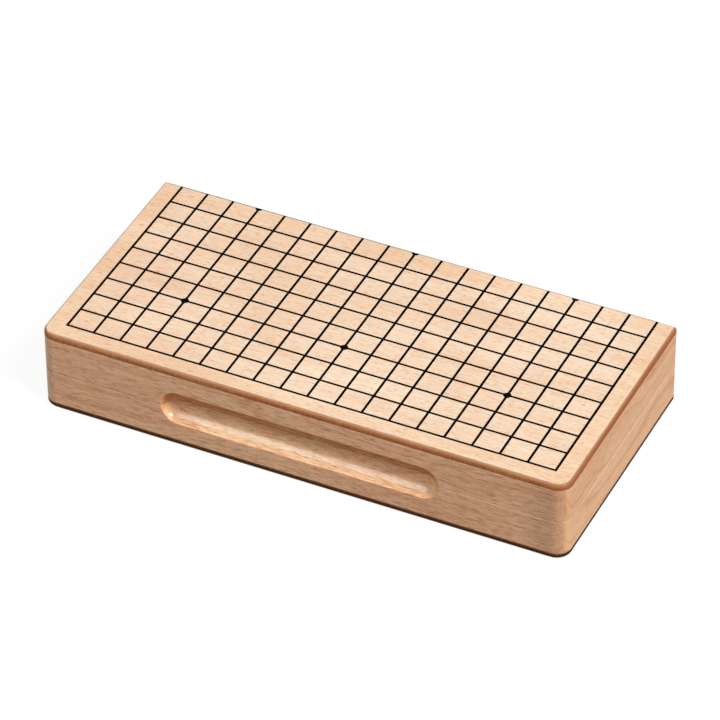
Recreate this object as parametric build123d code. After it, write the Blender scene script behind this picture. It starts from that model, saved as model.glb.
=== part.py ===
from build123d import *
import os

# Folding go board in beech, shut as a flat box. Millimetres, +Z up.
# +X runs along the fold, -Y is the front with the finger recess, +Y is the hinge side.
# The origin is the bottom centre of the whole shut board, hinge knuckles included.
# Each half carries half of the grid on its outer face, and the tenth line lies on the fold.

# Playing grid
grid_lines = 19
pitch_x = 15.0
pitch_y = 14.3
line_width = 1.4
ink_depth = 0.12
star_radius = 2.1
star_first = 3
star_step = 6
fold_line_width = 0.3

# Playing panels: a brown fibreboard core between two veneers
margin_side = 10.8
margin_front = 10.8
face_veneer = 0.25
core_thickness = 3.0
inner_veneer = 0.2
edge_round = 2.0
corner_radius = 8.0
panel_arris = 0.3

# Frame rails, mitred at all four corners
rail_width = 11.0
rail_height = 20.3
rail_arris = 0.4
back_corner_arris = 0.8

# Finger recess, a ball-nosed scoop across the seam of the two front rails
recess_length = 154.0
recess_cutter_radius = 10.0
recess_depth = 7.5
recess_lip = 0.5

# Middle divider of each half
divider_thickness = 5.0

# Brass butt hinges let into the rims of the back rails
hinge_length = 30.0
hinge_inset = 50.0
leaf_width = 8.5
leaf_thickness = 0.9
leaf_gap = 0.1
knuckle_radius = 1.8
middle_knuckle_length = 10.0
knuckle_gap = 0.2
pin_radius = 0.8
pin_play = 0.05
fold_gap = 0.3
mortise_clearance = 0.1
notch_clearance = 0.3

# Countersunk screws of the hinges
screws_per_leaf = 2
screw_end_inset = 6.0
screw_length = 8.0
screw_shank_radius = 1.0
screw_head_radius = 1.8
screw_head_height = 0.8
screw_tip_length = 1.5
screw_tip_radius = 0.2
screw_clearance = 0.05
drive_width = 0.4
drive_length = 2.2
drive_depth = 0.45

# Disc magnets that hold the halves shut, glued into the rims of the front rails
magnet_radius = 3.0
magnet_thickness = 2.5
magnet_clearance = 0.05
magnet_sink = 0.1

# Room that a cutting tool takes past the face it starts from
cut_margin = 5.0

# Overall sizes and places
last_line = grid_lines - 1
rows_per_half = last_line // 2
board_width = last_line * pitch_x + 2 * margin_side
half_depth = margin_front + rows_per_half * pitch_y
panel_thickness = face_veneer + core_thickness + inner_veneer
split_z = panel_thickness + rail_height
overall_depth = half_depth + fold_gap / 2 + knuckle_radius
front_y = -overall_depth / 2
back_y = front_y + half_depth
axis_y = back_y + fold_gap / 2
side_x = board_width / 2
first_line_y = front_y + margin_front
inner_x = side_x - rail_width
inner_front_y = front_y + rail_width
inner_back_y = back_y - rail_width
hinge_x = side_x - hinge_inset


def line_x(index):
    """X of a grid line that runs from the front to the fold."""
    return (index - last_line / 2) * pitch_x


def line_y(index):
    """Y of a grid line that runs along the board."""
    return first_line_y + index * pitch_y


def block(low, high):
    """A box between its lowest and highest corners."""
    size = [high[axis] - low[axis] for axis in range(3)]
    corner = (Align.MIN, Align.MIN, Align.MIN)
    return Pos(*low) * Box(*size, align=corner)


def rod_along_x(radius, start, length, y, z):
    """A round rod along X that begins at start."""
    placed = Pos(start, y, z) * Rot(0, 90, 0)
    return placed * Cylinder(radius, length, align=(Align.CENTER, Align.CENTER, Align.MIN))


def disc(radius, height, x, y, low_z):
    """An upright round solid that stands on low_z."""
    return Pos(x, y, low_z) * Cylinder(radius, height, align=(Align.CENTER, Align.CENTER, Align.MIN))


def turned_over(shape):
    """The same piece in the upper half, which is the lower half turned over about the seam."""
    return Pos(0, 0, 2 * split_z) * Rot(0, 180, 0) * shape


# Plan outline of a half: round front corners, nearly square corners at the fold
def outline_prism(low_z, high_z):
    shape = block((-side_x, front_y, low_z), (side_x, back_y, high_z))
    uprights = shape.edges().filter_by(Axis.Z).sort_by(Axis.Y)
    shape = fillet(uprights[:2], corner_radius)
    uprights = shape.edges().filter_by(Axis.Z).filter_by(GeomType.LINE)
    uprights = uprights.filter_by_position(Axis.Y, back_y - back_corner_arris, back_y)
    return fillet(uprights, back_corner_arris)


def panel_form():
    """The whole panel of the lower half, rounded on every outer edge but the fold."""
    long_back = back_y + cut_margin
    shape = block((-side_x, front_y, 0), (side_x, long_back, panel_thickness))
    shape = fillet(shape.edges().filter_by(Axis.Z).sort_by(Axis.Y)[:2], corner_radius)
    outer = shape.faces().sort_by(Axis.Z)[0].edges()
    outer = outer.filter_by_position(Axis.Y, front_y, long_back - cut_margin / 2)
    shape = fillet(outer, edge_round)
    inner = shape.faces().sort_by(Axis.Z)[-1].edges()
    inner = inner.filter_by_position(Axis.Y, front_y, long_back - cut_margin / 2)
    shape = fillet(inner, panel_arris)
    return shape & outline_prism(0, panel_thickness)


def panel_slice(form, low_z, high_z):
    """The layer of a panel between two heights."""
    low = (-board_width, front_y - cut_margin, low_z)
    high = (board_width, back_y + cut_margin, high_z)
    return form & block(low, high)


def plate(left, front, right, back):
    """A flat rectangle between its sides."""
    middle = Pos((left + right) / 2, (front + back) / 2)
    return middle * Rectangle(right - left, back - front)


def star_points():
    """Column and row of each star point of a half; the last row is cut by the fold."""
    columns = range(star_first, last_line, star_step)
    rows = range(star_first, rows_per_half + 1, star_step)
    return [(column, row) for column in columns for row in rows]


def bare_field(column, row):
    """The unprinted wood between four grid lines, less the star points at its corners."""
    half_line = line_width / 2
    back = line_y(row + 1) - half_line
    if row + 1 == rows_per_half:
        back = back_y - fold_line_width
    left = line_x(column) + half_line
    field = plate(left, line_y(row) + half_line, line_x(column + 1) - half_line, back)
    for star_column, star_row in star_points():
        if star_column - column in (0, 1) and star_row - row in (0, 1):
            field -= Pos(line_x(star_column), line_y(star_row)) * Circle(star_radius)
    return field.face().outer_wire()


# Printed grid of one half, as thin flush ink
def grid_print():
    half_line = line_width / 2
    left = line_x(0) - half_line
    border = plate(left, line_y(0) - half_line, -left, back_y).face().outer_wire()
    columns = range(last_line)
    rows = range(rows_per_half)
    fields = [bare_field(column, row) for column in columns for row in rows]
    return extrude(Face(border, fields), ink_depth)


# Frame of the lower half: a ring with softened edges, cut into four mitred rails
def frame_ring():
    ring = outline_prism(panel_thickness, split_z)
    rims = ring.faces().filter_by(Axis.Z).edges()
    ring = fillet(rims, rail_arris)
    low = (-inner_x, inner_front_y, panel_thickness - cut_margin)
    cavity = block(low, (inner_x, inner_back_y, split_z))
    above_low = (-board_width, front_y - cut_margin, split_z)
    above = block(above_low, (board_width, back_y + cut_margin, split_z + cut_margin))
    tool = cavity + above
    mouth = tool.edges().filter_by_position(Axis.Z, split_z, split_z)
    mouth = mouth.filter_by_position(Axis.Y, inner_front_y, inner_back_y)
    return ring - fillet(mouth, rail_arris)


def finger_scoop():
    """What the ball-nosed cutter takes from the front, with a softened lip."""
    centre_y = front_y - (recess_cutter_radius - recess_depth)
    mouth_radius = (recess_cutter_radius ** 2 - (recess_cutter_radius - recess_depth) ** 2) ** 0.5
    reach = recess_length / 2 - mouth_radius
    scoop = rod_along_x(recess_cutter_radius, -reach, 2 * reach, centre_y, split_z)
    for x in (-reach, reach):
        scoop += Pos(x, centre_y, split_z) * Sphere(recess_cutter_radius)
    slab_reach = recess_cutter_radius + cut_margin
    low = (-reach - slab_reach, front_y - 2 * slab_reach, split_z - slab_reach)
    slab = block(low, (reach + slab_reach, front_y, split_z + slab_reach))
    tool = slab + scoop
    lip = tool.edges().filter_by_position(Axis.Y, front_y, front_y)
    inside = slab_reach - cut_margin / 2
    lip = lip.filter_by_position(Axis.Z, split_z - inside, split_z + inside)
    return fillet(lip, recess_lip)


def mitred(corners):
    """The prism of a rail, from the corners of its plan."""
    plan = make_face(Polyline(*corners, close=True))
    return Pos(0, 0, panel_thickness) * extrude(plan, rail_height)


def hinge_places():
    return (-hinge_x, hinge_x)


def screw_places(x):
    """Plan places of the screws of the hinge at x."""
    y = axis_y - (leaf_width + knuckle_radius) / 2
    first = x - hinge_length / 2 + screw_end_inset
    spacing = (hinge_length - 2 * screw_end_inset) / (screws_per_leaf - 1)
    return [(first + index * spacing, y) for index in range(screws_per_leaf)]


def magnet_places():
    """Plan places of the magnets, midway between the recess and the side rails."""
    x = (recess_length / 2 + inner_x) / 2
    y = front_y + rail_width / 2
    return [(-x, y), (x, y)]


def leaf_floor():
    """Height of the underside of a lower hinge leaf."""
    return split_z - leaf_gap / 2 - leaf_thickness


def hinge_cut(x):
    """The mortise of a leaf, the notch round the knuckles and the screw holes."""
    half = hinge_length / 2 + mortise_clearance
    low = (x - half, axis_y - leaf_width - mortise_clearance, leaf_floor())
    cut = block(low, (x + half, back_y + cut_margin, split_z + cut_margin))
    half = hinge_length / 2 + notch_clearance
    cut += rod_along_x(knuckle_radius + notch_clearance, x - half, 2 * half, axis_y, split_z)
    for place in screw_places(x):
        cut += screw_form(place, screw_clearance)
    return cut


def front_rail(ring):
    rail = ring & mitred([
        (-side_x, front_y),
        (side_x, front_y),
        (inner_x, inner_front_y),
        (-inner_x, inner_front_y),
    ])
    rail -= finger_scoop()
    depth = magnet_thickness + magnet_sink
    for place in magnet_places():
        rail -= disc(magnet_radius + magnet_clearance, depth + cut_margin, *place, split_z - depth)
    return rail


def back_rail(ring):
    rail = ring & mitred([
        (-inner_x, inner_back_y),
        (inner_x, inner_back_y),
        (side_x, back_y),
        (-side_x, back_y),
    ])
    for x in hinge_places():
        rail -= hinge_cut(x)
    return rail


def side_rail(ring, side):
    return ring & mitred([
        (side * side_x, front_y),
        (side * side_x, back_y),
        (side * inner_x, inner_back_y),
        (side * inner_x, inner_front_y),
    ])


def divider():
    low = (-divider_thickness / 2, inner_front_y, panel_thickness)
    wall = block(low, (divider_thickness / 2, inner_back_y, split_z))
    return fillet(wall.faces().sort_by(Axis.Z)[-1].edges().filter_by(Axis.Y), rail_arris)


def magnets():
    floor_z = split_z - magnet_thickness - magnet_sink
    return [disc(magnet_radius, magnet_thickness, *place, floor_z) for place in magnet_places()]


def knuckle_spans(x, middle):
    """Start and length of the knuckles of one leaf: the middle one, or the two end ones."""
    gap_edge = middle_knuckle_length / 2 + knuckle_gap
    end_length = hinge_length / 2 - gap_edge
    if middle:
        return [(x - middle_knuckle_length / 2, middle_knuckle_length)]
    return [(x - hinge_length / 2, end_length), (x + gap_edge, end_length)]


def hinge_leaf(x, middle):
    """A leaf in the lower half's pose, with either the middle knuckle or the two end ones."""
    top_z = leaf_floor() + leaf_thickness
    low = (x - hinge_length / 2, axis_y - leaf_width, leaf_floor())
    leaf = block(low, (x + hinge_length / 2, axis_y, top_z))
    for start, length in knuckle_spans(x, not middle):
        room = rod_along_x(
            knuckle_radius + knuckle_gap,
            start - knuckle_gap,
            length + 2 * knuckle_gap,
            axis_y,
            split_z,
        )
        leaf -= room
    for start, length in knuckle_spans(x, middle):
        leaf += rod_along_x(knuckle_radius, start, length, axis_y, split_z)
    leaf -= rod_along_x(pin_radius + pin_play, x - hinge_length, 2 * hinge_length, axis_y, split_z)
    for place in screw_places(x):
        leaf -= screw_form(place, screw_clearance)
    return leaf


def screw_form(place, clearance):
    """A countersunk screw's outer form, grown by a clearance."""
    top_z = leaf_floor() + leaf_thickness
    head = Cone(
        screw_shank_radius + clearance,
        screw_head_radius + clearance,
        screw_head_height,
        align=(Align.CENTER, Align.CENTER, Align.MAX),
    )
    shank_length = screw_length - screw_head_height - screw_tip_length
    shank = disc(screw_shank_radius + clearance, shank_length, 0, 0, -screw_head_height - shank_length)
    tip = Cone(
        screw_tip_radius,
        screw_shank_radius + clearance,
        screw_tip_length,
        align=(Align.CENTER, Align.CENTER, Align.MIN),
    )
    return Pos(*place, top_z) * (head + shank + Pos(0, 0, -screw_length) * tip)


def screw(place):
    """A countersunk screw with a cross drive."""
    top_z = leaf_floor() + leaf_thickness
    drive = Box(drive_length, drive_width, 2 * drive_depth)
    drive += Box(drive_width, drive_length, 2 * drive_depth)
    return screw_form(place, 0) - Pos(*place, top_z) * drive


def screws():
    return [screw(place) for x in hinge_places() for place in screw_places(x)]


def hinge_pin(x):
    return rod_along_x(pin_radius, x - hinge_length / 2, hinge_length, axis_y, split_z)


def save(name, pieces):
    """Write one node: a single solid, or a group of separate ones."""
    group = pieces if isinstance(pieces, list) else [pieces]
    solids = [solid for piece in group for solid in piece.solids()]
    shape = solids[0] if len(solids) == 1 else Compound(children=solids)
    shape.label = name
    export_step(shape, "parts/" + name + ".step")


def half_pieces():
    """Every piece that the two halves share, in the lower half's pose."""
    form = panel_form()
    ink = grid_print()
    core_z = face_veneer + core_thickness
    ring = frame_ring()
    return {
        "playing_face": panel_slice(form, 0, face_veneer) - ink,
        "grid_print": ink,
        "panel_core": panel_slice(form, face_veneer, core_z),
        "inner_veneer": panel_slice(form, core_z, panel_thickness),
        "front_rail": front_rail(ring),
        "back_rail": back_rail(ring),
        "left_rail": side_rail(ring, -1),
        "right_rail": side_rail(ring, 1),
        "divider": divider(),
        "magnets": magnets(),
        "hinge_screws": screws(),
    }


def upper_name(name):
    """Turning a half over about the seam swaps its left and right rails."""
    swapped = {"left_rail": "right_rail", "right_rail": "left_rail"}
    return "upper_" + swapped.get(name, name)


os.makedirs("parts", exist_ok=True)

for name, pieces in half_pieces().items():
    save("lower_" + name, pieces)
    group = pieces if isinstance(pieces, list) else [pieces]
    save(upper_name(name), [turned_over(piece) for piece in group])

for side, x in zip(("left", "right"), hinge_places()):
    save(side + "_hinge_lower_leaf", hinge_leaf(x, False))
    save(side + "_hinge_upper_leaf", turned_over(hinge_leaf(-x, True)))
    save(side + "_hinge_pin", hinge_pin(x))
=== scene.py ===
import math

import bpy
from mathutils import Matrix, Vector


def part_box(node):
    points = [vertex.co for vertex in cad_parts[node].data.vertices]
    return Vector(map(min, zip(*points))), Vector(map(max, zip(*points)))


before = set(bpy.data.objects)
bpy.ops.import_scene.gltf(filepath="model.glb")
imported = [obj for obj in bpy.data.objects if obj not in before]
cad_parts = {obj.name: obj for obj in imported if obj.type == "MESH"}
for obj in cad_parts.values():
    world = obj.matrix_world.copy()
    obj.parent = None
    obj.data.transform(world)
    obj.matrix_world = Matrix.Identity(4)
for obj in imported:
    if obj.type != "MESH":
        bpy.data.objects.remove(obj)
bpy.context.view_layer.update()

MM = 0.001


def colour(red, green, blue):
    return (red, green, blue, 1.0)


# Places that the frame gives, in metres
seam_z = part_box("lower_front_rail")[1].z
front_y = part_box("lower_front_rail")[0].y
back_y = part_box("lower_back_rail")[1].y
side_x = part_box("lower_front_rail")[1].x
rail_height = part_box("upper_front_rail")[1].z - seam_z
face_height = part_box("upper_playing_face")[1].z - seam_z

# The photograph's camera: where it aims on the seam's plane, its direction and roll in degrees,
# how far off it stands and how far it sees in metres, and its lens and sensor in millimetres
CAMERA_AIM = (-1.15 * MM, 3.72 * MM)
CAMERA_AZIMUTH = -64.38
CAMERA_ELEVATION = 38.92
CAMERA_ROLL = -0.38
CAMERA_DISTANCE = 2.5287
CAMERA_REACH = 50.0
CAMERA_LENS = 248.0
CAMERA_SENSOR = 36.0

# Half the width of the dark hairlines: at a mitre, in the seam, and where a rail meets its panel
MITRE_LINE = 0.16 * MM
SEAM_LINE = 0.30 * MM
GLUE_LINE = 0.55 * MM

# The gap shows this far under the seam at the left end and over it at the right end, and it
# crosses over within this distance of the middle
GAP_RISE = 0.13 * MM
GAP_TURN = 60 * MM

# The painted highlight on the rim of the lower half, a pale line just under the seam where its
# arris
# would catch the light: how far under it, half the line's width, the length of its breaks, and
# how deep the side's line reaches in from the side
RIM_DROP = 0.24 * MM
RIM_LINE = 0.38 * MM
RIM_BREAK = 4 * MM
RIM_SIDE_DEPTH = 1 * MM

# How far the growth rings wander, and how far apart in the figure one board is from the next
RING_WANDER = 22 * MM
RAIL_STEP = (0.61, 0.13, 0.29)
VENEER_STEP = (0.71, 0.37, 0.17)

# How deep the fibreboard pales towards its veneer, and half the width of the line where it begins
CORE_FADE = 0.8 * MM
SHOULDER_LINE = 0.9 * MM

# Radius of the board's front corners
CORNER = 8.0 * MM

# Each pair from here on says where an effect starts and where it is full
# Measured from the right side: the seam's hairline turns faint, and the ends are greyed, partly
# as end grain and partly as painted shade
SEAM_FAINT = (60 * MM, 40 * MM)
RIGHT_END_SHADE_SPAN = (26 * MM, 4 * MM)

# Measured from the nearest corner: the rim's painted highlight turns clear, on the front and on
# the side
RIM_ON_FRONT = (38 * MM, 50 * MM)
RIM_ON_SIDE = (8 * MM, 22 * MM)

# The recess: behind its rim, before its back, inwards from the sides, and by height over the
# seam, where its upper walls get painted shade and its lower lip painted light
RECESS_RIM = (0.3 * MM, 1.5 * MM)
RECESS_BACK = (9 * MM, 8 * MM)
RECESS_ENDS = (15 * MM, 20 * MM)
PAINTED_SHADE_HEIGHTS = (-3 * MM, 1 * MM)
PAINTED_LIGHT_HEIGHTS = (-5.5 * MM, -7 * MM)

# The playing face: its handled margin from the edges, and its wear from the fold and the middle
HANDLED_MARGIN = (11.5 * MM, 8.5 * MM)
FOLD_EDGE = (1.2 * MM, 0.7 * MM)
FOLD_LEFT = (20 * MM, -20 * MM)

# The floor's painted shadow: dark well inside the board's outline and clear near it
PAINTED_SHADOW_EDGE = (-1.8 * MM, -0.6 * MM)

# The wood's colours, and the shades that multiply them where the wood has pores, rays or wear,
# and where painted light and shade fall: the rim's pale line, the recess tints, and the right
# ends' grey, which is partly end grain
RAIL_PALE = colour(0.96, 0.565, 0.32)
RAIL_DEEP = colour(0.82, 0.41, 0.205)
# Painted highlight: the pale line under the seam where the rim's arris would catch the light
RIM_HIGHLIGHT = colour(0.98, 0.71, 0.44)
PORE = colour(0.70, 0.58, 0.49)
RAY = colour(0.76, 0.62, 0.52)
GAP = colour(0.30, 0.20, 0.14)
# Painted light: the recess walls are lightened and whitened
RECESS_PAINTED_LIGHT = colour(1.04, 1.11, 1.09)
# Painted shade: the upper walls of the recess, under its lip, are darkened and browned
RECESS_PAINTED_SHADE = colour(0.92, 0.67, 0.43)
# Painted light: the lower lip of the recess is whitened
LIP_PAINTED_LIGHT = colour(0.86, 0.95, 1.05)
# Partly end grain and partly painted shade: the grey of the right corners
END_GRAIN_AND_PAINTED_SHADE = colour(0.80, 0.77, 0.78)
FACE_PALE = colour(0.80, 0.635, 0.472)
FACE_DEEP = colour(0.71, 0.482, 0.32)
FACE_RAY = colour(0.80, 0.56, 0.45)
HANDLED = colour(1.0, 0.95, 0.89)
VENEER_EDGE = colour(0.48, 0.39, 0.33)
FOLD_WEAR = colour(0.72, 0.85, 1.0)
INNER_PALE = colour(0.74, 0.50, 0.31)
INNER_DEEP = colour(0.64, 0.40, 0.23)

# The other colours, and the shade that multiplies the fibreboard where it begins to pale
CORE_DARK = colour(0.36, 0.11, 0.030)
CORE_LIGHT = colour(0.53, 0.215, 0.075)
CORE_EDGE = colour(0.43, 0.20, 0.105)
SHOULDER = colour(0.83, 0.92, 1.10)
INK_DEEP = colour(0.0006, 0.0005, 0.0005)
INK_PALE = colour(0.0030, 0.0025, 0.0022)
BRASS_PALE = colour(0.83, 0.62, 0.30)
BRASS_DEEP = colour(0.62, 0.42, 0.17)
NICKEL_PALE = colour(0.75, 0.74, 0.71)
NICKEL_DEEP = colour(0.55, 0.54, 0.52)
WHITE = colour(1.0, 1.0, 1.0)

# How strong the rings, their late wood, the pores and the lacquer show, by the grain's axis: X
# along the front and back, and Y along the sides
FIGURE = {"X": (0.75, 0.30, 1.0, 0.65), "Y": (1.0, 0.30, 0.5, 0.25)}

# The light all round, the floor's own tone, the light that lifts it to white, and its reach
AMBIENT = 0.1
FLOOR_TONE = 0.15
FLOOR_LIFT = 0.87
FLOOR_REACH = 8.0


def looking_at(target, azimuth, elevation, distance):
    """Placement that looks at a target from a distance. The azimuth turns from +X to +Y."""
    a, e = math.radians(azimuth), math.radians(elevation)
    towards = Vector((math.cos(a) * math.cos(e), math.sin(a) * math.cos(e), math.sin(e)))
    turn = towards.to_track_quat("Z", "Y").to_matrix().to_4x4()
    return Matrix.Translation(target + towards * distance) @ turn


def make_camera():
    data = bpy.data.cameras.new("camera")
    data.lens = CAMERA_LENS
    data.sensor_width = CAMERA_SENSOR
    data.clip_end = CAMERA_REACH
    camera = bpy.data.objects.new("camera", data)
    bpy.context.scene.collection.objects.link(camera)
    aim = Vector((*CAMERA_AIM, seam_z))
    placement = looking_at(aim, CAMERA_AZIMUTH, CAMERA_ELEVATION, CAMERA_DISTANCE)
    camera.matrix_world = placement @ Matrix.Rotation(math.radians(CAMERA_ROLL), 4, "Z")
    bpy.context.scene.camera = camera


class Nodes:
    """A node tree, with one short call for each kind of node that the materials use."""

    def __init__(self, owner):
        owner.use_nodes = True
        self.tree = owner.node_tree

    def add(self, kind, inputs=None, **settings):
        node = self.tree.nodes.new(kind)
        for name, value in settings.items():
            setattr(node, name, value)
        for name, value in (inputs or {}).items():
            self.put(node.inputs[name], value)
        return node

    def put(self, socket, value):
        if isinstance(value, bpy.types.NodeSocket):
            self.tree.links.new(value, socket)
        else:
            socket.default_value = value

    def math(self, operation, a, b=0.0):
        return self.add("ShaderNodeMath", {0: a, 1: b}, operation=operation).outputs[0]

    def product(self, first, *others):
        for value in others:
            first = self.math("MULTIPLY", first, value)
        return first

    def place(self, output="Object"):
        return self.add("ShaderNodeTexCoord").outputs[output]

    def parts(self, vector):
        return self.add("ShaderNodeSeparateXYZ", {0: vector}).outputs

    def place_on(self, axis):
        """Place in the object on one axis: X, Y or Z."""
        return self.parts(self.place())[axis]

    def facing(self, axis):
        """How much the surface faces along one axis, from -1 to 1."""
        return self.parts(self.place("Normal"))[axis]

    def vector(self, x, y, z):
        return self.add("ShaderNodeCombineXYZ", {0: x, 1: y, 2: z}).outputs[0]

    def length(self, vector):
        node = self.add("ShaderNodeVectorMath", {0: vector}, operation="LENGTH")
        return node.outputs["Value"]

    def moved(self, vector, shift):
        return self.add("ShaderNodeVectorMath", {0: vector, 1: shift}, operation="ADD").outputs[0]

    def stretched(self, vector, size):
        """The vector in units of a pattern's size along each axis."""
        scale = tuple(1 / length for length in size)
        node = self.add("ShaderNodeVectorMath", {0: vector, 1: scale}, operation="MULTIPLY")
        return node.outputs[0]

    def noise(self, vector, detail, roughness=0.5):
        inputs = {"Vector": vector, "Scale": 1.0, "Detail": detail, "Roughness": roughness}
        return self.add("ShaderNodeTexNoise", inputs).outputs["Fac"]

    def bands(self, place, detail, roughness=0.5):
        inputs = {"W": place, "Scale": 1.0, "Detail": detail, "Roughness": roughness}
        node = self.add("ShaderNodeTexNoise", inputs, noise_dimensions="1D")
        return node.outputs["Fac"]

    def cells(self, vector):
        """Distance from the nearest cell centre, and that cell's random value."""
        node = self.add("ShaderNodeTexVoronoi", {"Vector": vector, "Scale": 1.0})
        return node.outputs["Distance"], self.parts(node.outputs["Color"])[0]

    def between(self, value, low, high, start=0.0, end=1.0):
        """The start where the value is low, going smoothly to the end where it is high."""
        inputs = {0: value, 1: low, 2: high, 3: start, 4: end}
        node = self.add("ShaderNodeMapRange", inputs, clamp=True, interpolation_type="SMOOTHSTEP")
        return node.outputs[0]

    def mix(self, factor, a, b, blend="MIX"):
        # A node that mixes colours takes them in sockets 6 and 7, and gives its result in 2
        node = self.add("ShaderNodeMix", data_type="RGBA", blend_type=blend, clamp_factor=True)
        self.put(node.inputs[0], factor)
        self.put(node.inputs[6], a)
        self.put(node.inputs[7], b)
        return node.outputs[2]

    def tint(self, strength, below, shade):
        """Multiply a colour by a shade, where strength says."""
        return self.mix(strength, below, shade, "MULTIPLY")

    def blend_tones(self, *patterns):
        """One tone from several patterns, each with its weight; an even tone is 0.5."""
        total = 0.5
        for value, weight in patterns:
            offset = self.math("SUBTRACT", value, 0.5)
            total = self.math("ADD", self.math("MULTIPLY", offset, weight), total)
        return total

    def bump(self, height, depth, strength):
        inputs = {"Height": height, "Distance": depth, "Strength": strength}
        return self.add("ShaderNodeBump", inputs).outputs[0]


def new_material(name):
    material = bpy.data.materials.new(name)
    nodes = Nodes(material)
    return material, nodes, nodes.tree.nodes["Principled BSDF"]


def give_surface(nodes, shader, base, roughness, normal):
    nodes.put(shader.inputs["Base Color"], base)
    nodes.put(shader.inputs["Roughness"], roughness)
    nodes.put(shader.inputs["Normal"], normal)


def lacquer(shader, coat, coat_roughness):
    """Clear satin lacquer over the wood."""
    shader.inputs["Specular IOR Level"].default_value = 0.0
    shader.inputs["Coat Weight"].default_value = coat
    shader.inputs["Coat Roughness"].default_value = coat_roughness


def satin(nodes, pattern, dullest):
    """Roughness that follows a pattern, up to its dullest."""
    return nodes.between(pattern, 0.3, 0.7, 0.5, dullest)


def grain(length, width):
    """A pattern's size along X and across it, given in millimetres."""
    return (length * MM, width * MM, width * MM)


def seeded(nodes, place, seed, step):
    """The place moved on by a seed, so that no two boards share their figure."""
    return nodes.moved(place, tuple(seed * metres for metres in step))


def grain_place(nodes, along):
    """Place in the object, turned so that x runs along a board's grain."""
    x, y, z = nodes.parts(nodes.place())
    return nodes.vector(x, y, z) if along == "X" else nodes.vector(y, x, z)


def flecks(nodes, place, size, width, share):
    """Short rays of beech: a share of long thin cells, each with its own strength."""
    distance, chance = nodes.cells(nodes.stretched(place, size))
    shape = nodes.between(distance, width, width * 0.4)
    chosen = nodes.between(chance, 1 - share, 1.0)
    return nodes.product(shape, chosen)


def dashes(nodes, place, size, low, high):
    """Dark broken lines of the open pores along the grain."""
    return nodes.between(nodes.noise(nodes.stretched(place, size), detail=1.0), low, high)


def growth_rings(nodes, turned, place, pith, spacing, slope):
    """Bands about a pith that lies beside the board, wavy and a little askew to its length."""
    wander = nodes.noise(nodes.stretched(place, grain(100, 30)), detail=1.0)
    x, y, z = nodes.parts(turned)
    across = nodes.math("SUBTRACT", y, pith[0])
    up = nodes.math("SUBTRACT", z, pith[1])
    radius = nodes.length(nodes.vector(0.0, across, up))
    waved = nodes.math("ADD", radius, nodes.product(wander, RING_WANDER))
    askew = nodes.math("ADD", waved, nodes.product(x, slope))
    return nodes.bands(nodes.math("DIVIDE", askew, spacing), detail=3.0, roughness=0.55)


def near(nodes, value, place, width):
    """1 where a value is at a place, falling to 0 at the width."""
    return nodes.between(nodes.math("ABSOLUTE", nodes.math("SUBTRACT", value, place)), width, 0.0)


def upright_face(nodes):
    """1 on faces that stand upright, and 0 on level ones."""
    return nodes.between(nodes.math("ABSOLUTE", nodes.facing("Z")), 0.99, 0.85)


def above_seam(nodes):
    """Height above the seam, which is negative in the lower half."""
    return nodes.math("SUBTRACT", nodes.place_on("Z"), seam_z)


def from_right(nodes):
    return nodes.math("SUBTRACT", side_x, nodes.place_on("X"))


def from_front(nodes):
    return nodes.math("SUBTRACT", nodes.place_on("Y"), front_y)


def from_back(nodes):
    return nodes.math("SUBTRACT", back_y, nodes.place_on("Y"))


def from_sides(nodes):
    """Distance from the board's left or right side, whichever is nearer."""
    return nodes.math("SUBTRACT", side_x, nodes.math("ABSOLUTE", nodes.place_on("X")))


def from_ends(nodes):
    """Distance from the board's front or back, whichever is nearer."""
    return nodes.math("MINIMUM", from_front(nodes), from_back(nodes))


def joint_lines(nodes):
    """Hairlines at the mitres, along the seam, and where a front or back rail meets its panel."""
    mitre = nodes.product(near(nodes, from_sides(nodes), from_ends(nodes), MITRE_LINE), 0.35)
    above = above_seam(nodes)
    gap = nodes.between(nodes.place_on("X"), -GAP_TURN, GAP_TURN, -GAP_RISE, GAP_RISE)
    fading = nodes.between(from_right(nodes), *SEAM_FAINT, start=0.9, end=0.35)
    seam = nodes.product(near(nodes, above, gap, SEAM_LINE), upright_face(nodes), fading)
    glue = near(nodes, nodes.math("ABSOLUTE", above), rail_height, GLUE_LINE)
    glue = nodes.product(glue, nodes.math("ABSOLUTE", nodes.facing("Y")), 0.6)
    return nodes.math("MAXIMUM", mitre, nodes.math("MAXIMUM", seam, glue))


def rim_painted_highlight(nodes):
    """The painted highlight under the seam, a pale line where the rim's arris would catch the
    light: broken and faint along the front, clear at the right side.
    """
    x = nodes.place_on("X")
    line = nodes.product(near(nodes, above_seam(nodes), -RIM_DROP, RIM_LINE), upright_face(nodes))
    breaks = nodes.bands(nodes.math("DIVIDE", x, RIM_BREAK), detail=1.0)
    broken = nodes.between(breaks, 0.35, 0.6)
    rising = nodes.between(x, -GAP_TURN, GAP_TURN, end=0.45)
    off_corner = nodes.between(from_sides(nodes), *RIM_ON_FRONT, start=0.2)
    on_front = nodes.product(rising, broken, off_corner)
    off_corner = nodes.between(from_ends(nodes), *RIM_ON_SIDE, start=0.15, end=0.85)
    on_side = nodes.product(nodes.between(from_right(nodes), RIM_SIDE_DEPTH, 0.0), off_corner)
    return nodes.product(line, nodes.math("MAXIMUM", on_front, on_side))


def recess(nodes):
    """1 on the walls of the finger recess that look forward, from behind its rim to its back."""
    behind_rim = nodes.between(from_front(nodes), *RECESS_RIM)
    before_back = nodes.between(from_front(nodes), *RECESS_BACK)
    inwards = nodes.between(from_sides(nodes), *RECESS_ENDS)
    forward = nodes.between(nodes.facing("Y"), -0.1, -0.3)
    return nodes.product(inwards, behind_rim, before_back, forward)


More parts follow.
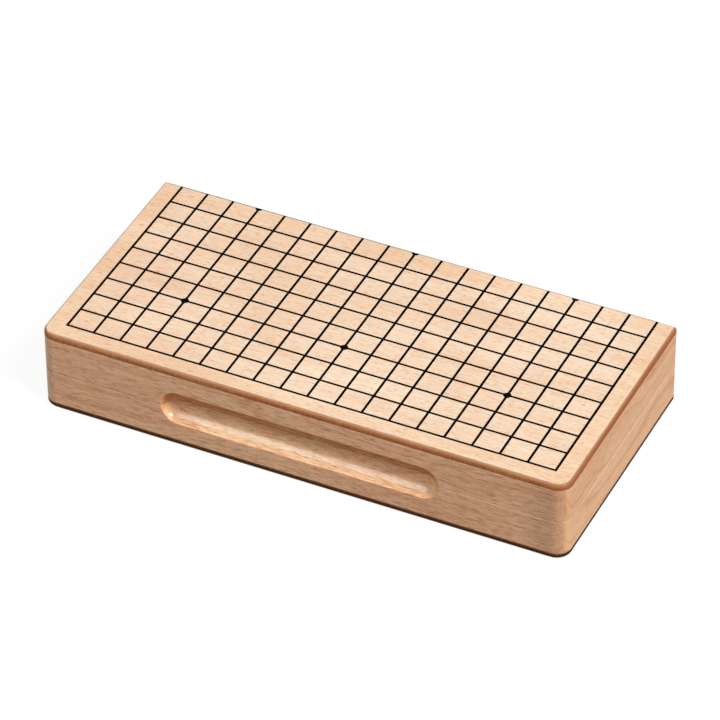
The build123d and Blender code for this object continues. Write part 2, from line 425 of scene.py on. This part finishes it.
def right_ends_painted_shade(nodes):
    """1 on the front and back near the right corners, round to where they face the side: where
    end grain and painted shade grey the wood.
    """
    close = nodes.between(from_right(nodes), *RIGHT_END_SHADE_SPAN)
    sideways = nodes.math("ABSOLUTE", nodes.facing("X"))
    return nodes.product(close, nodes.between(sideways, 0.88, 0.72))


def rail_pores(nodes, place, along, weight):
    """Open pores, which are faint on end grain."""
    pores = dashes(nodes, place, grain(5.0, 0.33), low=0.53, high=0.61)
    lengthwise = nodes.math("ABSOLUTE", nodes.facing(along))
    side_grain = nodes.between(lengthwise, 0.75, 0.2, start=0.3)
    return nodes.product(pores, side_grain, weight)


def rail_marks_and_painted_light(nodes, wood):
    """What a rail's wood takes on: painted light and shade in the recess, painted shade with end
    grain at its right ends, a painted highlight on its rim, and dark joints.
    """
    inside = recess(nodes)
    above = above_seam(nodes)
    # Painted shade under the recess's lip, and painted light on its lower lip and walls
    recess_shade_mask = nodes.product(inside, nodes.between(above, *PAINTED_SHADE_HEIGHTS))
    lip_light_mask = nodes.product(inside, nodes.between(above, *PAINTED_LIGHT_HEIGHTS))
    wood = nodes.tint(inside, wood, RECESS_PAINTED_LIGHT)
    wood = nodes.tint(recess_shade_mask, wood, RECESS_PAINTED_SHADE)
    wood = nodes.tint(lip_light_mask, wood, LIP_PAINTED_LIGHT)
    # End grain and painted shade grey the right corners
    wood = nodes.tint(right_ends_painted_shade(nodes), wood, END_GRAIN_AND_PAINTED_SHADE)
    # Painted highlight: the pale rim line under the seam
    wood = nodes.mix(rim_painted_highlight(nodes), wood, RIM_HIGHLIGHT)
    return nodes.tint(joint_lines(nodes), wood, GAP)


def beech(name, along, seed, pith, spacing, slope, tone_shift):
    """Solid beech with its grain along one axis, growth rings, rays, pores and joint lines."""
    material, nodes, shader = new_material(name)
    ring_weight, late_weight, pore_weight, coat = FIGURE[along]
    turned = grain_place(nodes, along)
    place = seeded(nodes, turned, seed, RAIL_STEP)
    rings = growth_rings(nodes, turned, place, pith, spacing, slope)
    late_wood = nodes.between(rings, 0.54, 0.64)
    broad = nodes.noise(nodes.stretched(place, grain(90, 12)), detail=2.0)
    fibres = nodes.noise(nodes.stretched(place, grain(12, 0.6)), detail=3.0, roughness=0.6)
    patterns = ((rings, ring_weight), (late_wood, late_weight), (broad, 0.8), (fibres, 1.2))
    tone = nodes.math("ADD", nodes.blend_tones(*patterns), tone_shift)
    wood = nodes.mix(nodes.between(tone, 0.0, 1.0), RAIL_PALE, RAIL_DEEP)
    pores = rail_pores(nodes, place, along, pore_weight)
    fine = flecks(nodes, place, grain(3.0, 0.5), width=0.42, share=0.6)
    large = flecks(nodes, place, grain(7.0, 0.9), width=0.34, share=0.35)
    wood = nodes.tint(pores, wood, PORE)
    wood = nodes.tint(nodes.product(fine, 0.7 * pore_weight), wood, RAY)
    wood = nodes.tint(nodes.product(large, 0.4 * pore_weight), wood, RAY)
    wood = rail_marks_and_painted_light(nodes, wood)
    relief = nodes.math("SUBTRACT", fibres, nodes.product(pores, 0.5))
    normal = nodes.bump(relief, depth=0.03 * MM, strength=0.6)
    give_surface(nodes, shader, wood, satin(nodes, fibres, dullest=0.65), normal)
    lacquer(shader, coat, coat_roughness=0.15)
    return material


def face_wear(nodes, wood):
    """What a veneer takes on: on its handled margin, at its rounded edge and along the fold."""
    from_edge = nodes.math("MINIMUM", from_sides(nodes), from_ends(nodes))
    wood = nodes.tint(nodes.between(from_edge, *HANDLED_MARGIN), wood, HANDLED)
    rounded = nodes.between(nodes.math("ABSOLUTE", nodes.facing("Z")), 0.999, 0.94)
    not_left = nodes.between(nodes.facing("X"), -0.25, -0.05)
    wood = nodes.tint(nodes.product(rounded, not_left), wood, VENEER_EDGE)
    at_fold = nodes.between(from_back(nodes), *FOLD_EDGE)
    at_left = nodes.between(nodes.place_on("X"), *FOLD_LEFT)
    return nodes.tint(nodes.product(at_fold, at_left), wood, FOLD_WEAR)


def veneer(name, seed, pale, deep, coat):
    """Beech face veneer, with its grain along the fold."""
    material, nodes, shader = new_material(name)
    place = seeded(nodes, nodes.place(), seed, VENEER_STEP)
    broad = nodes.noise(nodes.stretched(place, grain(100, 13)), detail=2.0)
    patches = nodes.noise(nodes.stretched(place, grain(80, 60)), detail=1.0)
    fibres = nodes.noise(nodes.stretched(place, grain(10, 0.7)), detail=3.0, roughness=0.6)
    tone = nodes.blend_tones((broad, 1.0), (patches, 1.0), (fibres, 1.3))
    wood = nodes.mix(nodes.between(tone, 0.0, 1.0), pale, deep)
    pores = dashes(nodes, place, grain(4.0, 0.40), low=0.54, high=0.72)
    fine = flecks(nodes, place, grain(3.6, 0.55), width=0.40, share=0.45)
    large = flecks(nodes, place, grain(6.5, 0.9), width=0.34, share=0.3)
    wood = nodes.tint(nodes.product(pores, 0.6), wood, FACE_RAY)
    wood = nodes.tint(fine, wood, FACE_RAY)
    wood = nodes.tint(large, wood, FACE_RAY)
    wood = face_wear(nodes, wood)
    normal = nodes.bump(fibres, depth=0.015 * MM, strength=0.5)
    give_surface(nodes, shader, wood, satin(nodes, fibres, dullest=0.65), normal)
    lacquer(shader, coat, coat_roughness=0.2)
    return material


# Painted shade: a board's colour multiplied by a shade
def in_painted_shade(base, shade):
    return colour(*(channel * shade for channel in base[:3]))


def fibreboard(name, shade, coat):
    """Brown board edge, combed by the cutter along the front and back, paler by the veneer; its
    colours are multiplied by a painted shade.
    """
    material, nodes, shader = new_material(name)
    upright_comb = nodes.stretched(nodes.place(), (0.55 * MM, 0.55 * MM, 8 * MM))
    comb = nodes.noise(upright_comb, detail=2.0, roughness=0.6)
    flat_cloud = nodes.stretched(nodes.place(), (20 * MM, 20 * MM, 4 * MM))
    cloud = nodes.noise(flat_cloud, detail=3.0, roughness=0.6)
    on_front = nodes.math("ABSOLUTE", nodes.facing("Y"))
    streak = nodes.product(nodes.between(comb, 0.35, 0.65), on_front)
    tone = nodes.math("ADD", nodes.product(streak, 0.42), nodes.product(cloud, 0.5))
    tone = nodes.between(tone, 0.1, 0.9)
    brown = nodes.mix(tone, in_painted_shade(CORE_DARK, shade), in_painted_shade(CORE_LIGHT, shade))
    from_seam = nodes.math("ABSOLUTE", above_seam(nodes))
    shoulder = near(nodes, from_seam, face_height - CORE_FADE, SHOULDER_LINE)
    brown = nodes.tint(shoulder, brown, SHOULDER)
    near_face = nodes.between(from_seam, face_height - CORE_FADE, face_height)
    brown = nodes.mix(near_face, brown, in_painted_shade(CORE_EDGE, shade))
    normal = nodes.bump(streak, depth=0.02 * MM, strength=0.5)
    give_surface(nodes, shader, brown, satin(nodes, cloud, dullest=0.7), normal)
    lacquer(shader, coat, coat_roughness=0.2)
    return material


def ink(name):
    """Flat black screen print, a little uneven."""
    material, nodes, shader = new_material(name)
    cloud = nodes.noise(nodes.stretched(nodes.place(), grain(3, 3)), detail=3.0, roughness=0.6)
    shade = nodes.mix(cloud, INK_DEEP, INK_PALE)
    normal = nodes.bump(cloud, depth=0.01 * MM, strength=0.3)
    give_surface(nodes, shader, shade, satin(nodes, cloud, dullest=0.7), normal)
    shader.inputs["Specular IOR Level"].default_value = 0.01
    return material


def metal(name, pale, deep, brush):
    """Drawn or plated metal: fine brushing, and duller spots where it has been handled."""
    material, nodes, shader = new_material(name)
    lines = nodes.noise(nodes.stretched(nodes.place(), brush), detail=3.0, roughness=0.6)
    cloud = nodes.noise(nodes.stretched(nodes.place(), grain(4, 4)), detail=3.0, roughness=0.6)
    shade = nodes.mix(nodes.between(cloud, 0.3, 0.75), pale, deep)
    roughness = nodes.math("ADD", nodes.product(lines, 0.2), nodes.product(cloud, 0.25))
    normal = nodes.bump(lines, depth=0.01 * MM, strength=0.5)
    give_surface(nodes, shader, shade, roughness, normal)
    shader.inputs["Metallic"].default_value = 1.0
    return material


def dress(node, material):
    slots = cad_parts[node].data.materials
    slots.clear()
    slots.append(material)


def dress_wood():
    behind_front = front_y + 55 * MM
    inside_right = side_x - 60 * MM
    # Each rail: its grain, seed, pith across and up, ring spacing, slope along it and tone
    rails = {
        "upper_front_rail": ("X", 1.0, (behind_front, 2 * MM), 2.2 * MM, 0.02, 0.0),
        "lower_front_rail": ("X", 2.0, (behind_front, -14 * MM), 2.2 * MM, -0.02, 0.0),
        "upper_back_rail": ("X", 3.0, (back_y, 90 * MM), 2.2 * MM, 0.02, 0.0),
        "lower_back_rail": ("X", 4.0, (back_y, -60 * MM), 2.2 * MM, 0.03, 0.0),
        "upper_right_rail": ("Y", 5.0, (inside_right, 2 * MM), 2.6 * MM, 0.08, 0.06),
        "lower_right_rail": ("Y", 6.0, (inside_right, -14 * MM), 3.0 * MM, 0.06, -0.22),
        "upper_left_rail": ("Y", 7.0, (-inside_right, 60 * MM), 2.4 * MM, 0.05, 0.0),
        "lower_left_rail": ("Y", 8.0, (-inside_right, 10 * MM), 2.8 * MM, 0.06, 0.0),
        "upper_divider": ("Y", 9.0, (40 * MM, 30 * MM), 2.4 * MM, 0.02, 0.0),
        "lower_divider": ("Y", 10.0, (40 * MM, 10 * MM), 2.4 * MM, 0.02, 0.0),
    }
    for node, settings in rails.items():
        dress(node, beech(node + "_beech", *settings))
    for seed, half in enumerate(("lower", "upper"), 1):
        face = veneer(half + "_face_veneer", seed, FACE_PALE, FACE_DEEP, coat=0.8)
        dress(half + "_playing_face", face)
        inner = veneer(half + "_balancing_veneer", seed + 2, INNER_PALE, INNER_DEEP, coat=0.3)
        dress(half + "_inner_veneer", inner)


def dress_rest():
    dress("upper_panel_core", fibreboard("upper_fibreboard", shade=1.0, coat=0.2))
    # Painted shade: the lower board's colours are darkened to 0.27 of the upper board's, as if
    # always in shadow
    dress("lower_panel_core", fibreboard("lower_fibreboard_painted_shade", shade=0.27, coat=0.0))
    print_ink = ink("black_ink")
    brass = metal("brass", BRASS_PALE, BRASS_DEEP, grain(9, 0.3))
    nickel = metal("nickel", NICKEL_PALE, NICKEL_DEEP, grain(2, 2))
    for half in ("lower", "upper"):
        dress(half + "_grid_print", print_ink)
        dress(half + "_hinge_screws", brass)
        dress(half + "_magnets", nickel)
        for side in ("left", "right"):
            dress(side + "_hinge_" + half + "_leaf", brass)
    for side in ("left", "right"):
        dress(side + "_hinge_pin", brass)


def softbox(name, azimuth, elevation, distance, size, radiance, diffuse=True, glossy=True):
    """A rectangular lamp that faces the object. Radiance 1 is as bright as white paper."""
    data = bpy.data.lights.new(name, "AREA")
    data.shape = "RECTANGLE"
    data.size, data.size_y = size
    data.energy = radiance * math.pi * size[0] * size[1]
    lamp = bpy.data.objects.new(name, data)
    bpy.context.scene.collection.objects.link(lamp)
    lamp.matrix_world = looking_at(Vector((0, 0, seam_z)), azimuth, elevation, distance)
    lamp.visible_camera = False
    lamp.visible_diffuse = diffuse
    lamp.visible_glossy = glossy


def seen_directly(nodes):
    """1 for what the camera, a reflection or a clear surface sees, and 0 for stray light."""
    path = nodes.add("ShaderNodeLightPath").outputs
    seen = nodes.math("MAXIMUM", path["Is Camera Ray"], path["Is Glossy Ray"])
    return nodes.math("MAXIMUM", seen, path["Is Transmission Ray"])


def make_world():
    """White where it is seen, and a weak light all round for the rest."""
    world = bpy.data.worlds.new("world")
    bpy.context.scene.world = world
    nodes = Nodes(world)
    strength = nodes.between(seen_directly(nodes), 0.0, 1.0, start=AMBIENT)
    background = nodes.tree.nodes["Background"]
    background.inputs["Color"].default_value = WHITE
    nodes.put(background.inputs["Strength"], strength)


def outside_painted_shadow(nodes):
    """0 on the floor well under the board, and 1 near its outline and outside it: a painted
    contact shadow that takes away the floor's lift.
    """
    across = nodes.math("MAXIMUM", nodes.math("SUBTRACT", CORNER, from_sides(nodes)), 0.0)
    ahead = nodes.math("MAXIMUM", nodes.math("SUBTRACT", CORNER, from_front(nodes)), 0.0)
    reach = nodes.length(nodes.vector(across, ahead, 0.0))
    past_front = nodes.math("SUBTRACT", reach, CORNER)
    past_back = nodes.product(from_back(nodes), -1.0)
    return nodes.between(nodes.math("MAXIMUM", past_front, past_back), *PAINTED_SHADOW_EDGE)


def make_floor():
    """A pale floor, lifted to white where it is seen, that keeps a soft shadow, with a painted
    shadow well under the board.
    """
    mesh = bpy.data.meshes.new("floor")
    reach = FLOOR_REACH
    corners = [(-reach, -reach, 0), (reach, -reach, 0), (reach, reach, 0), (-reach, reach, 0)]
    mesh.from_pydata(corners, [], [(0, 1, 2, 3)])
    floor = bpy.data.objects.new("floor", mesh)
    bpy.context.scene.collection.objects.link(floor)
    material, nodes, shader = new_material("floor_paper")
    shader.inputs["Base Color"].default_value = colour(FLOOR_TONE, FLOOR_TONE, FLOOR_TONE)
    shader.inputs["Roughness"].default_value = 1.0
    shader.inputs["Specular IOR Level"].default_value = 0.0
    shader.inputs["Emission Color"].default_value = WHITE
    # Painted shadow: no lift to white well under the board
    strength = nodes.product(seen_directly(nodes), outside_painted_shadow(nodes), FLOOR_LIFT)
    nodes.put(shader.inputs["Emission Strength"], strength)
    mesh.materials.append(material)


def light_scene():
    # Each lamp: its azimuth and elevation in degrees, distance, size and radiance
    softbox("key", -14, 48, 6.0, (2.23, 2.23), 21.5)
    softbox("window", -120, 47, 4.0, (3.0, 2.0), 7.0, diffuse=False)
    softbox("overhead", -92, 64, 2.5, (1.5, 1.5), 4.1, glossy=False)
    softbox("fill", -115, 20, 3.0, (1.2, 1.2), 1.0, glossy=False)
    softbox("back", 130, 12, 3.0, (2.1, 2.1), 2.2, glossy=False)
    make_world()
    make_floor()
    bpy.context.scene.view_settings.view_transform = "Standard"


make_camera()
dress_wood()
dress_rest()
light_scene()
